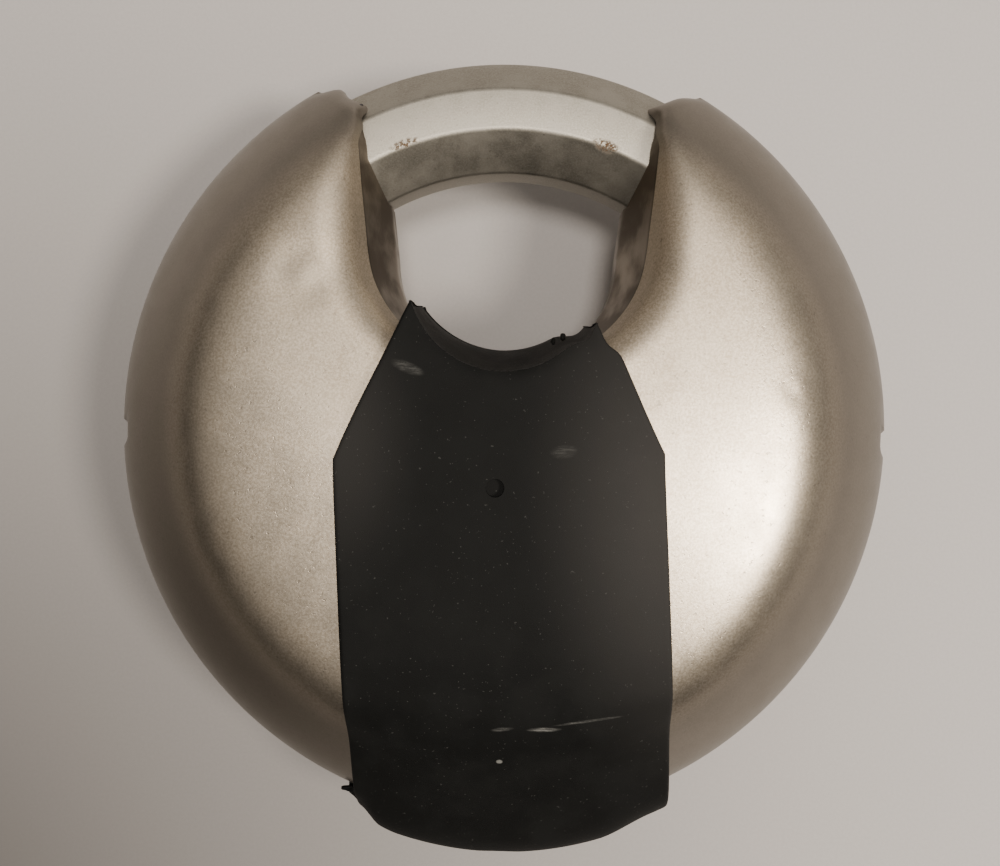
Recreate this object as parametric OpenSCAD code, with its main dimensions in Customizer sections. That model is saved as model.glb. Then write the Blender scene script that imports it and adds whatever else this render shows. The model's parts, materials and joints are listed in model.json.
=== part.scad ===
// Round shrouded padlock ("discus" lock) for a brake disc, lying on its back.
// Origin: centre of the disc on the flat back face. +X right, +Y towards the
// shackle, +Z out of the front face. Millimetres.

/* [Shells] */
// Width across the rim of the two shells
body_w = 70; // [69.5:0.1:71]
// Height of the shells, rim to rim through the throat
body_h = 73.4; // [73:0.1:74.5]
// Crown of each shell above the middle plane
crown_z = 12.5; // [12.3:0.1:12.6]
// Radius of the soft crease between crown and rim slope
crease_r = 26.7; // [26:0.1:27.5]
// Height of that crease above the middle plane
crease_z = 11; // [10.8:0.1:11.2]
// Upright land where the two shells meet
land_z = 0.8; // [0.6:0.1:1]
// Thickness of the shell sheet
sheet = 1.3; // [1.1:0.1:1.4]

/* [Throat] */
// Radius of the round floor of the throat
throat_r = 9.8; // [9.7:0.1:9.9]
// Height of the centre of that floor
throat_y = 15.5; // [15.4:0.1:15.6]
// Half width of the throat where the shackle crosses it
throat_top = 11.2; // [11:0.1:11.4]
// Half width of the flared throat at the crown
flare_half = 14.3; // [14:0.1:14.5]
// Depth of the flared floor below its centre, at the crown
flare_depth = 10.8; // [10.6:0.1:10.9]
// Where the rolled lips end and the liner begins
lip_z = 7.4; // [7.2:0.1:7.6]
// Thickness of the throat liner
liner_t = 0.8; // [0.6:0.1:0.8]

/* [Shackle] */
// Height of the shackle pivot above the disc centre
pivot_y = 1.2; // [1.1:0.1:1.3]
// Outer radius of the shackle ring
shackle_ro = 32; // [31.8:0.1:32]
// Thickness of the octagonal ring, both ways
shackle_t = 10; // [9.8:0.1:10]
// Half width of each flat of the octagon
flat_half = 1.8; // [1.6:0.1:2]
// Angle that the shackle turns to open
open_angle = 60; // [50:1:60]
// Angle of the free end of the closed ring
free_end = 56; // [55:1:58]
// Angle of the tail of the closed ring
tail_end = 180; // [176:1:180]

/* [Lock cylinder] */
// Radius of the plug
plug_r = 4; // [3.9:0.05:4]
// Outer radius of the housing barrel
barrel_r = 5.4; // [5.3:0.1:5.4]
// Eccentricity of the driver finger
finger_e = 4; // [3.9:0.1:4]
// Radius of the driver finger
finger_r = 1.5; // [1.3:0.1:1.5]
// Number of pin chambers
pin_count = 5; // [4:1:5]
// Spacing of the pin chambers
pin_pitch = 3.2; // [3:0.1:3.2]

/* [Cover] */
// Half width of the cover band
cover_half = 13.2; // [13:0.1:13.4]
// Outer face of each cover above the middle plane
cover_z = 13.5; // [13.4:0.1:13.8]
// Radius of the nose that wraps the rim
nose_r = 38.4; // [38.2:0.1:38.6]
// Radius of the key entry in the nose
key_entry_r = 4.3; // [4.2:0.1:4.4]

/* [Hidden] */

round_fn = 96;
mid_z = cover_z;
gap = 0.05;

// Two arcs, one for each side, make the slightly tall rim outline.
lens_r = (pow(body_w / 2, 2) + pow(body_h / 2, 2)) / body_w;
lens_d = lens_r - body_w / 2;
crease_soft = 0.7;
rim_power = 0.75;
flare_z = 1.5;

// Shackle ring
shackle_ri = shackle_ro - shackle_t;
ring_mid = shackle_ro - shackle_t / 2;
ring_clear = 0.35;
pin_r = 1.5;
pin_half = 9;
bush_r = 2.2;
hub_r = 3.2;
hub_room_half = shackle_t / 2 + 0.3;
hub_room_top = 4.75;
rotor_floor = -1.8;
prong_ri = 7;
prong_ro = 9;
plate_r = 8.5;
slot_half = 2.95;
fork_angle = 270 - open_angle / 2;
fork_half = 46;
arm_from = 154;
arm_to = 166;

// Lock cylinder, along Y with its pins towards +X
plug_face = -35.2;
collar_face = -36.3;
collar_back = -33.4;
rim_opening_y = -32.4;
barrel_end = -12.2;
driver_back = -11.4;
driver_front = -8.6;
finger_tip = -5.6;
rib_half = 2.8;
rib_x = 13.4;
rib_start = -31.4;
chamber_r = 1.35;
tumbler_r = 1.25;
first_pin = -29;
shear_x = 3.75;
driver_start = 4.1;
driver_end = 6.9;
spring_end = 12.5;
keyway_end = -13.5;
tail_r = 2;
driver_r = 5.6;
cross_pin_r = 0.85;
cross_pin_foot = -7;
cross_pin_at = [9.2, -13.6];
drill_pin_r = 0.6;
drill_pin_half = 4;
cap_t = 0.75;
cap_half = 1.75;
clip_r = 5.1;
clip_bore = 3.4;

// Fastenings of the cores and covers
rivet_r = 1.75;
rivet_half = 5;
rivets = [[-13.7, 12], [22, 13], [20, -14], [-10.3, -27]];
lug_r = 2;
lug_foot = 7;
lug_top = 12.2;
lugs = [[-10.5, -6], [10.5, -6], [-10.5, -19], [10.5, -19]];

// Hard parts in the cores
guide_w = 6.6;
guide_depths = [16, 19]; // left, right
guide_top = 33;
wear_from = 144;
wear_to = 238;
wear_z = 5.4;
wear_t = 1;
wear_seat = 0.4;

// Notches in the rim, dimple and tongues of the cover
notch_y = -1;
notch = [1, 2.4, 2.2];
dimple_at = [-0.7, -4.9];
dimple_r = 0.75;
tongue = [1.4, 0.5, 0.6];
tongue_y = -34.4;

// ---- Profile of a shell --------------------------------------------------

function soft_min(a, b) = -crease_soft * ln(exp(-a / crease_soft) + exp(-b / crease_soft));
function dome(r) = crown_z - (crown_z - crease_z) * pow(r / crease_r, 2);
function slope(r) =
    land_z + (crease_z - land_z) * pow(max(0, lens_r - r) / (lens_r - crease_r), rim_power);
function face(r) = soft_min(dome(r), slope(r));
function fall(r) = (face(r) - face(r - 0.05)) / 0.05;
// A point of the profile moved t inwards, square to the surface
function inset(r, t) =
    let (k = fall(r), l = sqrt(1 + k * k)) [max(0, r + t * k / l), face(r) - t / l];
function stations(n) = [for (i = [0:n]) lens_r * sin(90 * i / n)];
function outer_line(n) = [for (r = stations(n)) [r, face(r)]];
function inner_line(n, t) =
    concat([[0, face(0) - t]], [for (r = stations(n)) if (r > 1) inset(r, t)]);
function reversed(list) = [for (i = [len(list) - 1:-1:0]) list[i]];
function sheet_points(n, t) =
    concat(outer_line(n), [[lens_r, 0], [lens_r - t, 0]], reversed(inner_line(n, t)));
function filled_points(n, t) = concat([[0, 0]], inner_line(n, t), [[lens_r - t, 0]]);

module lens(points) {
    for (side = [-1, 1])
        intersection() {
            translate([-side * lens_d, 0, 0])
                rotate_extrude($fn = round_fn)
                    polygon(points);
            translate([side > 0 ? 0 : -50, -50, -1])
                cube([50, 100, 30]);
        }
}

// Space inside a shell, from the middle plane to t under its surface
module inside_half(t) {
    lens(filled_points(8, t));
}

module inside_both(t) {
    inside_half(t);
    mirror([0, 0, 1]) inside_half(t);
}

// ---- Throat --------------------------------------------------------------

module throat_plan(g) {
    translate([0, throat_y])
        circle(r = throat_r + g, $fn = 64);
    polygon([[-throat_r - g, throat_y], [throat_r + g, throat_y], [throat_top + g, 27],
        [throat_top + 1 + g, 45], [-throat_top - 1 - g, 45], [-throat_top - g, 27]]);
}

// Outline of the throat where its flare leaves the crown
module flare_plan(g) {
    side = [[flare_half + 0.5, 20], [flare_half + 0.9, 26], [flare_half + 1.1, 45]];
    arc = [for (a = [180:7.5:360])
        [(flare_half + g) * cos(a), throat_y + (flare_depth + g) * sin(a)]];
    polygon(concat(arc, [for (p = side) [p[0] + g, p[1]]],
        [for (p = reversed(side)) [-p[0] - g, p[1]]]));
}

// The horn tips fall away beside the throat's mouth.
module mouth_cut() {
    half = [[13.4, 28.6], [16.3, 30.2], [18.4, 30.8], [21, 40]];
    translate([0, 0, -20])
        linear_extrude(40)
            polygon(concat(half, [for (p = reversed(half)) [-p[0], p[1]]]));
}

// Front half of the throat, flared towards the crown; g closes it in
module throat_cut(g) {
    translate([0, 0, -1])
        linear_extrude(crown_z + 2)
            throat_plan(-g);
    hull() {
        translate([0, 0, flare_z])
            linear_extrude(0.1)
                throat_plan(-g);
        translate([0, 0, crown_z + 1])
            linear_extrude(0.1)
                flare_plan(-g);
    }
}

module throat_both(g) {
    throat_cut(g);
    mirror([0, 0, 1]) throat_cut(g);
}

// Slab of the upper half of the disc between two heights
module throat_slab(from, to) {
    translate([-20, -5, from])
        cube([40, 50, to - from]);
}

// Front half of the hollow above the rubber saddle
module saddle_cut() {
    translate([0, 16.5, -1])
        cylinder(r = 9.3, h = 16, $fn = 64);
    hull() {
        translate([0, 15.8, 6])
            cylinder(r = 8.6, h = 0.1, $fn = 48);
        translate([0, 12.4, cover_z])
            cylinder(r = 7.9, h = 0.2, $fn = 48);
    }
}

// ---- Shared spaces -------------------------------------------------------

module about_pivot() {
    translate([0, pivot_y, 0]) children();
}

// Octagonal ring between two angles, grown by g all round
module ring(from, to, g) {
    h = shackle_t / 2 + g;
    f = flat_half + g * 0.4;
    about_pivot()
        rotate([0, 0, from])
            rotate_extrude(angle = to - from, $fn = round_fn)
                translate([ring_mid, 0])
                    polygon([[-f, -h], [f, -h], [h, -f], [h, f], [f, h], [-f, h], [-h, f], [-h, -f]]);
}

module ring_channel() {
    ring(free_end - 1.5, tail_end + open_angle + 2.5, ring_clear);
}

module sector(ri, ro, from, to, z0, z1) {
    about_pivot()
        rotate([0, 0, from])
            rotate_extrude(angle = to - from, $fn = round_fn)
                polygon([[ri, z0], [ro, z0], [ro, z1], [ri, z1]]);
}

module along_y(r, from, to) {
    translate([0, to, 0])
        rotate([90, 0, 0])
            cylinder(r = r, h = to - from, $fn = 64);
}

module along_x(r, from, to, y) {
    translate([from, y, 0])
        rotate([0, 90, 0])
            cylinder(r = r, h = to - from, $fn = 32);
}

module chambers(r, from, to) {
    for (i = [0:pin_count - 1])
        along_x(r, from, to, first_pin + i * pin_pitch);
}

module collar_block(g) {
    translate([-6.4 - g, collar_face - g, -5 - g])
        cube([12.8 + 2 * g, collar_back - collar_face + g, 10 + 2 * g]);
}

// Opening in the rim of shells and cores, in front of the cylinder
module rim_opening() {
    translate([-6.45, -45, -9])
        cube([12.9, 45 + rim_opening_y, 18]);
}

module housing_block(g) {
    along_y(barrel_r + g, collar_back, barrel_end + g);
    translate([0, rib_start - g, -rib_half - g])
        cube([rib_x + g, barrel_end - rib_start + 2 * g, 2 * (rib_half + g)]);
}

module cylinder_space() {
    housing_block(gap);
    collar_block(gap);
    along_y(driver_r + 0.4, barrel_end, finger_tip + 0.3);
}

module lug_set(r, from, to) {
    for (p = lugs)
        translate([p[0], p[1], from])
            cylinder(r = r, h = to - from, $fn = 32);
}

module rivet_set(r, half) {
    for (p = rivets)
        translate([p[0], p[1], -half])
            cylinder(r = r, h = 2 * half, $fn = 32);
}

// ---- Shells and liner ----------------------------------------------------

module shell() {
    difference() {
        union() {
            lens(sheet_points(12, sheet));
            // Rolled lip along the throat
            intersection() {
                lens(filled_points(12, sheet / 2));
                throat_slab(lip_z, crown_z + 1);
                throat_cut(-sheet);
            }
        }
        throat_cut(0);
        mouth_cut();
        ring_channel();
        cylinder_space();
        rim_opening();
        lug_set(lug_r + 2 * gap, lug_foot - 2, 14);
        // Locating notches in the rim at both sides
        for (side = [-1, 1])
            translate([side * body_w / 2, notch_y, 0])
                cube(notch, center = true);
    }
}

module front_shell() {
    color("silver") translate([0, 0, mid_z]) shell();
}

module rear_shell() {
    color("silver") translate([0, 0, mid_z]) mirror([0, 0, 1]) shell();
}

module throat_liner() {
    color("darkgray")
        translate([0, 0, mid_z])
            difference() {
                intersection() {
                    inside_both(sheet + gap);
                    throat_slab(gap - lip_z, lip_z - gap);
                    throat_both(-liner_t);
                }
                throat_both(0);
                mouth_cut();
                ring_channel();
            }
}

// ---- Cores and their hard parts ------------------------------------------

module guide_box(side, g) {
    depth = guide_depths[side > 0 ? 1 : 0];
    inner_x = throat_top + 1.2;
    translate([side > 0 ? inner_x - g : -inner_x - guide_w - g, guide_top - depth - g, -lip_z - g])
        cube([guide_w + 2 * g, depth + 2 * g, 2 * (lip_z + g)]);
}

// Beside the ring; below opens a seat towards the ring's channel
module wear_sector(g, below) {
    sector(shackle_ri - 0.8 - g, ring_mid + 0.6 + g, wear_from, wear_to + g,
        wear_z - below, wear_z + wear_t + g);
}

module core() {
    difference() {
        inside_half(sheet + 0.1);
        throat_cut(-liner_t - gap);
        mouth_cut();
        // Room for the rolled lip
        intersection() {
            throat_cut(-sheet - 0.2);
            throat_slab(lip_z - gap, crown_z + 1);
        }
        ring_channel();
        // Room for the hub and the fork
        intersection() {
            about_pivot()
                cylinder(r = prong_ro + 0.5, h = 2 * hub_room_half, center = true, $fn = 64);
            translate([-20, -20, -10])
                cube([40, 20 + hub_room_top, 20]);
        }
        cylinder_space();
        rim_opening();
        for (side = [-1, 1])
            guide_box(side, gap);
        wear_sector(gap, wear_seat);
        lug_set(lug_r + gap, lug_foot - 0.1, 14);
        rivet_set(rivet_r, 20);
        about_pivot()
            cylinder(r = pin_r, h = 2 * pin_half, center = true, $fn = 32);
    }
}

module front_core() {
    color("gray") translate([0, 0, mid_z]) core();
}

module rear_core() {
    color("gray")
        translate([0, 0, mid_z])
            difference() {
                mirror([0, 0, 1]) core();
                // Path of the arm that joins hub and ring
                sector(plate_r - 1.5, ring_mid - flat_half, arm_from - 2, arm_to + open_angle + 2,
                    -0.2 - shackle_t / 2, 0);
                cross_pin_set(cross_pin_r + gap, 10);
            }
}

module front_wear_plate() {
    color("slategray") translate([0, 0, mid_z]) wear_sector(0, 0);
}

module rear_wear_plate() {
    color("slategray") translate([0, 0, mid_z]) mirror([0, 0, 1]) wear_sector(0, 0);
}

module guide(side) {
    difference() {
        intersection() {
            inside_both(sheet + 0.1);
            guide_box(side, 0);
        }
        throat_both(-liner_t - gap);
        mouth_cut();
        ring_channel();
    }
}

module left_guide() {
    color("dimgray") translate([0, 0, mid_z]) guide(-1);
}

module right_guide() {
    color("dimgray") translate([0, 0, mid_z]) guide(1);
}

module pivot_pin() {
    color("silver")
        translate([0, pivot_y, mid_z])
            cylinder(r = pin_r, h = 2 * pin_half, center = true, $fn = 32);
}

module core_rivets() {
    color("silver") translate([0, 0, mid_z]) rivet_set(rivet_r, rivet_half);
}

// ---- Shackle -------------------------------------------------------------

module shackle() {
    half = shackle_t / 2;
    color("lightgray")
        translate([0, 0, mid_z])
            difference() {
                union() {
                    ring(free_end, tail_end, 0);
                    // Arm from the ring to the rotor plate
                    sector(plate_r - 1, ring_mid, arm_from, arm_to, 0.1 - half, rotor_floor - 0.1);
                    sector(hub_r - 0.6, plate_r, arm_to - 4, fork_angle + fork_half - 2,
                        -half, rotor_floor);
                    sector(prong_ri, prong_ro, fork_angle - fork_half, fork_angle + fork_half,
                        -half, half);
                    about_pivot()
                        cylinder(r = hub_r, h = shackle_t, center = true, $fn = 64);
                }
                about_pivot()
                    cylinder(r = bush_r, h = shackle_t + 1, center = true, $fn = 32);
                // Slot of the fork, in which the driver finger runs
                about_pivot()
                    rotate([0, 0, fork_angle])
                        translate([prong_ri - 1, -slot_half, rotor_floor - 0.2])
                            cube([4, 2 * slot_half, 10]);
            }
}

module hub_bush() {
    color("peru")
        translate([0, pivot_y, mid_z])
            difference() {
                cylinder(r = bush_r, h = shackle_t - 0.2, center = true, $fn = 32);
                cylinder(r = pin_r + gap, h = shackle_t + 1, center = true, $fn = 32);
            }
}

// ---- Covers --------------------------------------------------------------

module cover_plan() {
    half = [[cover_half, -60], [cover_half, -2.4], [7.5, 9.9], [6.5, 12]];
    polygon(concat(half, [for (p = reversed(half)) [-p[0], p[1]]]));
}

module cover_body() {
    rotate_extrude($fn = round_fn)
        polygon([[0, 0], [nose_r, 0], [nose_r, 3], [nose_r - 0.4, 4.4], [nose_r - 1.6, 5.6],
            [32.2, 8.1], [27.6, 11], [25.4, 12.3], [23, cover_z - 0.3], [20, cover_z], [0, cover_z]]);
}

module cover() {
    difference() {
        union() {
            // Skin over the shell, and the nose round the rim
            difference() {
                intersection() {
                    cover_body();
                    translate([0, 0, -1])
                        linear_extrude(20)
                            cover_plan();
                }
                lens(filled_points(12, -gap));
            }
            // Saddle over the floor of the throat
            intersection() {
                throat_cut(gap);
                translate([-8.4, 0, 0])
                    cube([16.8, 10.2, cover_z - 0.8]);
            }
            lug_set(lug_r, lug_foot, lug_top);
            // Thin tongues under the rim beside the nose
            for (side = [-1, 1])
                translate([side * (cover_half + 0.4), tongue_y, tongue[2] / 2])
                    cube(tongue, center = true);
        }
        saddle_cut();
        cylinder_space();
        along_y(key_entry_r, -50, collar_face + 1);
    }
}

module front_cover() {
    color([0.12, 0.12, 0.12])
        translate([0, 0, mid_z])
            difference() {
                cover();
                // Small dimple in the front face
                translate([dimple_at[0], dimple_at[1], cover_z - 0.9])
                    cylinder(r = dimple_r, h = 2, $fn = 24);
            }
}

module rear_cover() {
    color([0.12, 0.12, 0.12]) translate([0, 0, mid_z]) mirror([0, 0, 1]) cover();
}

// ---- Lock cylinder -------------------------------------------------------

module cylinder_housing() {
    color("goldenrod")
        translate([0, 0, mid_z])
            difference() {
                housing_block(0);
                along_y(plug_r + gap, -40, 0);
                chambers(chamber_r, 1, rib_x - 0.8);
                // Groove that holds the cap strip
                translate([rib_x - cap_t - gap, rib_start - 1, -cap_half - gap])
                    cube([1, barrel_end - rib_start - 1, 2 * (cap_half + gap)]);
                cross_pin_set(cross_pin_r + gap, 20);
            }
}

module keyway_collar() {
    color("silver")
        translate([0, 0, mid_z])
            difference() {
                collar_block(0);
                along_y(plug_r + 2 * gap, -40, -30);
                drill_pin_set(drill_pin_r + gap, drill_pin_half + 0.2);
            }
}

module drill_pin_set(r, half) {
    for (x = [-5.2, 5.2])
        translate([x, (collar_face + collar_back) / 2, 0])
            cylinder(r = r, h = 2 * half, center = true, $fn = 24);
}

module drill_pins() {
    color("dimgray") translate([0, 0, mid_z]) drill_pin_set(drill_pin_r, drill_pin_half);
}

module cross_pin_set(r, h) {
    translate([cross_pin_at[0], cross_pin_at[1], cross_pin_foot])
        cylinder(r = r, h = h, $fn = 32);
}

module cylinder_pin() {
    color("silver") translate([0, 0, mid_z]) cross_pin_set(cross_pin_r, rib_half - cross_pin_foot);
}

module plug() {
    color("gold")
        translate([0, 0, mid_z])
            difference() {
                union() {
                    along_y(plug_r, plug_face, driver_back);
                    along_y(tail_r, driver_back - 1, driver_back + 2);
                }
                // Keyway, open at the face
                translate([-3.2, plug_face - 1, -0.9])
                    cube([5.6, keyway_end - plug_face + 1, 1.8]);
                translate([-2.4, plug_face - 1, -1.5])
                    cube([1.4, keyway_end - plug_face + 1, 3]);
                chambers(tumbler_r + gap, 0, 5);
                // Groove for the clip
                difference() {
                    along_y(plug_r + 1, barrel_end + 0.1, barrel_end + 0.6);
                    along_y(clip_bore, barrel_end, barrel_end + 1);
                }
            }
}

module plug_clip() {
    color("silver")
        translate([0, 0, mid_z])
            difference() {
                along_y(clip_r, barrel_end + 0.15, barrel_end + 0.55);
                along_y(clip_bore, barrel_end, barrel_end + 1);
                // Open side of the clip
                translate([-1.6, barrel_end - 1, -6])
                    cube([3.2, 3, 6]);
            }
}

module driver_cam() {
    color("lightsteelblue")
        translate([0, 0, mid_z])
            difference() {
                union() {
                    along_y(driver_r, driver_back, driver_front);
                    translate([-finger_e, 0, 0])
                        along_y(finger_r, driver_front - 1, finger_tip);
                }
                along_y(tail_r, driver_back - 1, driver_back + 2);
            }
}

// Each key pin is as long as its cut in the key is deep.
function cut(i) = [0.9, 1.8, 0.6, 1.5, 1.1][i];

module key_pins() {
    color("khaki")
        translate([0, 0, mid_z])
            for (i = [0:pin_count - 1])
                along_x(tumbler_r, cut(i), shear_x, first_pin + i * pin_pitch);
}

module driver_pins() {
    color("khaki") translate([0, 0, mid_z]) chambers(tumbler_r, driver_start, driver_end);
}

// One helical spring along +X: turns, mean radius, wire radius, length
module spring(turns, mean, wire, length) {
    sides = 5;
    step = 40;
    steps = turns * 360 / step;
    function hub(k) =
        [wire + k / steps * (length - 2 * wire), mean * cos(step * k), mean * sin(step * k)];
    function rim(k, j) =
        let (a = 360 * j / sides)
        hub(k) + wire * [sin(a), cos(a) * cos(step * k), cos(a) * sin(step * k)];
    function at(k, j) = k * sides + j % sides;
    points = [for (k = [0:steps]) for (j = [0:sides - 1]) rim(k, j)];
    skin = [for (k = [0:steps - 1]) for (j = [0:sides - 1]) for (half = [0, 1])
        half == 0 ? [at(k, j), at(k, j + 1), at(k + 1, j + 1)]
            : [at(k, j), at(k + 1, j + 1), at(k + 1, j)]];
    ends = [[for (j = [sides - 1:-1:0]) at(0, j)], [for (j = [0:sides - 1]) at(steps, j)]];
    polyhedron(points, concat(skin, ends));
}

module pin_springs() {
    color("silver")
        translate([driver_end + 0.05, 0, mid_z])
            for (i = [0:pin_count - 1])
                translate([0, first_pin + i * pin_pitch, 0])
                    spring(4, 0.95, 0.16, spring_end - driver_end - 0.1);
}

module chamber_cap() {
    color("goldenrod")
        translate([rib_x - cap_t, rib_start, mid_z - cap_half])
            cube([cap_t, barrel_end - rib_start - 2.1, 2 * cap_half]);
}

front_shell();
rear_shell();
throat_liner();
front_core();
rear_core();
front_wear_plate();
rear_wear_plate();
left_guide();
right_guide();
pivot_pin();
core_rivets();
shackle();
hub_bush();
front_cover();
rear_cover();
cylinder_housing();
keyway_collar();
drill_pins();
cylinder_pin();
plug();
plug_clip();
driver_cam();
key_pins();
driver_pins();
pin_springs();
chamber_cap();
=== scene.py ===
"""Looks of the round padlock: finished shells, rubber covers and materials around the CAD frame."""
import json
import math

import bmesh
import bpy
import numpy as np
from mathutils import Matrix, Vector, noise


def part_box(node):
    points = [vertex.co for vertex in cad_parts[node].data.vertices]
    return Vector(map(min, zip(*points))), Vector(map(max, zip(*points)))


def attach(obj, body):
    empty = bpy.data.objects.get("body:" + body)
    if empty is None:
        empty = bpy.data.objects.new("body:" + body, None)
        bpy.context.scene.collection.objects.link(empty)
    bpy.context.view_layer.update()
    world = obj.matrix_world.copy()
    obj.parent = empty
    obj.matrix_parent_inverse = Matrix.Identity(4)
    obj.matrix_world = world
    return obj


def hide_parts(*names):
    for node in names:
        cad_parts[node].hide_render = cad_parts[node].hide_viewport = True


MM = 0.001
NOISE_SEED = 1

# Vector noise takes its offsets from the seed, and without one from the clock
noise.seed_set(NOISE_SEED)

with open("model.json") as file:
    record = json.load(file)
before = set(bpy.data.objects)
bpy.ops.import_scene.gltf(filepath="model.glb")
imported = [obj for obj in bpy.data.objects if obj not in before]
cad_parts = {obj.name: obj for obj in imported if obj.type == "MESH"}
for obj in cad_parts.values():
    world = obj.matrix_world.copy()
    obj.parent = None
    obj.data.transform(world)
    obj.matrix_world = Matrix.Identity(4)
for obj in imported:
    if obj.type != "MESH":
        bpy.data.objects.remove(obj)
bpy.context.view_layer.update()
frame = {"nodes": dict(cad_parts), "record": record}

# ---- Places taken from the frame, in millimetres ---------------------------

shell_lo, shell_hi = (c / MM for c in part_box("front_shell"))
cover_lo, cover_hi = (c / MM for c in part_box("front_cover"))
pin_lo, pin_hi = (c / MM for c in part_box("pivot_pin"))

MID_Z = shell_lo.z
HALF_W = shell_hi.x
HALF_H = -shell_lo.y
CROWN = shell_hi.z - MID_Z
COVER_Z = cover_hi.z - MID_Z
NOSE_R = -cover_lo.y
COVER_HALF = 13.2
PIVOT_Y = (pin_lo.y + pin_hi.y) / 2

# The same curves as the CAD shells: each half of the outline is an arc of LENS_R, its centre
# LENS_D beyond the middle, and the face falls from a shallow dome to the rim at the crease
LENS_R = (HALF_W**2 + HALF_H**2) / (2 * HALF_W)
LENS_D = LENS_R - HALF_W
CREASE_R, CREASE_Z, CREASE_SOFT = 26.7, 11.0, 0.7
LAND_Z, RIM_POWER, SHEET = 0.8, 0.75, 1.3
THROAT_R, THROAT_Y = 9.8, 15.5
FLARE_HALF, FLARE_DEPTH, FLARE_Z = 14.3, 10.8, 1.5
LIP_Z = 7.4

# The shackle's octagonal ring: its middle radius, half its width and half a flat side, and the
# room that its channel leaves round it
RING_MID, RING_HALF, RING_FLAT, RING_CLEAR = 27.0, 5.0, 1.8, 0.35
CHANNEL_FLAT = RING_FLAT + 0.15


def smooth(x, a, b):
    """0 below a and 1 above b, with an eased step between them."""
    t = np.clip((np.asarray(x, float) - a) / (b - a), 0, 1)
    return t * t * (3 - 2 * t)


def face_height(x, y):
    """Height of the shell's outer surface above the middle plane."""
    x, y = np.asarray(x, float), np.asarray(y, float)
    r = np.hypot(np.abs(x) + LENS_D, y)
    dome = CROWN - (CROWN - CREASE_Z) * (r / CREASE_R) ** 2
    fall = np.maximum(0, LENS_R - r) / (LENS_R - CREASE_R)
    slope = LAND_Z + (CREASE_Z - LAND_Z) * fall**RIM_POWER
    return -CREASE_SOFT * np.log(np.exp(-dome / CREASE_SOFT) + np.exp(-slope / CREASE_SOFT))


def channel_height(x, y):
    """Half height of the shackle's channel where it passes a point of the plan, 0 beside it."""
    off = np.abs(np.hypot(x, y - PIVOT_Y) - RING_MID)
    half = RING_HALF + RING_CLEAR
    high = np.where(off < CHANNEL_FLAT, half, half - (off - CHANNEL_FLAT))
    return np.where(off < half, high, 0.0)


# ---- Mesh helpers ----------------------------------------------------------

WELD_GAP, SLIVER = 0.003, 0.002
LEAST_HEIGHT = 0.01


def make_object(name, verts, faces, body="root", mirror=False):
    """A mesh from points in millimetres above the middle plane; mirror makes the rear one."""
    pts = np.asarray(verts, float).copy()
    if mirror:
        pts[:, 2] *= -1
        faces = [tuple(reversed(f)) for f in faces]
    pts[:, 2] += MID_Z
    mesh = bpy.data.meshes.new(name)
    mesh.from_pydata((pts * MM).tolist(), [], faces)
    mesh.validate()
    mesh.update()
    obj = bpy.data.objects.new(name, mesh)
    bpy.context.scene.collection.objects.link(obj)
    shade_smooth(obj)
    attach(obj, body)
    return obj


def shade_smooth(obj, angle=35):
    """Smooth shading, with sharp edges where faces meet at more than the angle."""
    mesh = obj.data
    mesh.polygons.foreach_set("use_smooth", [True] * len(mesh.polygons))
    bm = bmesh.new()
    bm.from_mesh(mesh)
    limit = math.radians(angle)
    for e in bm.edges:
        e.smooth = len(e.link_faces) == 2 and e.calc_face_angle(0) < limit
    bm.to_mesh(mesh)
    bm.free()


def grid_faces(rows, cols, keep):
    """Quads over a grid of points, only where keep is true."""
    faces = []
    for i in range(rows - 1):
        for j in range(cols - 1):
            if keep[i, j]:
                a = i * cols + j
                faces.append((a, a + 1, a + cols + 1, a + cols))
    return faces


def grid_normals(grid):
    """Unit normals of a grid surface, from its neighbours on both sides."""
    across, along = np.gradient(grid, axis=1), np.gradient(grid, axis=0)
    n = np.cross(across, along)
    size = np.linalg.norm(n, axis=2, keepdims=True)
    return n / np.maximum(size, 1e-9)


def closed_sheet(outer, inner, keep):
    """Points and faces of a closed sheet between two grids, with its edges walled."""
    rows, cols = outer.shape[:2]
    top = grid_faces(rows, cols, keep)
    shift = rows * cols
    faces = top + [tuple(i + shift for i in reversed(f)) for f in top]
    sides = {}
    for f in top:
        for a, b in zip(f, f[1:] + f[:1]):
            if (b, a) in sides:
                del sides[(b, a)]
            else:
                sides[(a, b)] = True
    faces += [(b, a, a + shift, b + shift) for a, b in sides]
    return np.concatenate([outer.reshape(-1, 3), inner.reshape(-1, 3)]), faces


def tidy_mesh(obj):
    """Welds close points, drops slivers and loose points, and turns all faces outwards."""
    bm = bmesh.new()
    bm.from_mesh(obj.data)
    bmesh.ops.remove_doubles(bm, verts=bm.verts, dist=WELD_GAP * MM)
    bmesh.ops.dissolve_degenerate(bm, edges=bm.edges, dist=SLIVER * MM)
    bmesh.ops.delete(bm, geom=[v for v in bm.verts if not v.link_faces], context="VERTS")
    bmesh.ops.recalc_face_normals(bm, faces=bm.faces)
    bm.to_mesh(obj.data)
    bm.free()


def sheet_object(name, outer, thickness, keep, mirror):
    """A closed sheet hung under a grid, with a thickness for each of its points."""
    depth = np.broadcast_to(thickness, outer.shape[:2])[..., None]
    normal = grid_normals(outer)
    flip = np.sign(normal[..., 2].sum())
    inner = outer - normal * flip * depth
    inner[..., 2] = np.maximum(inner[..., 2], LEAST_HEIGHT)
    points, faces = closed_sheet(outer, inner, keep)
    obj = make_object(name, points, faces, mirror=mirror)
    tidy_mesh(obj)
    return obj


def apply_modifiers(obj):
    """Replaces the mesh by the one its modifiers give."""
    graph = bpy.context.evaluated_depsgraph_get()
    mesh = bpy.data.meshes.new_from_object(obj.evaluated_get(graph))
    obj.modifiers.clear()
    obj.data = mesh


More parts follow.
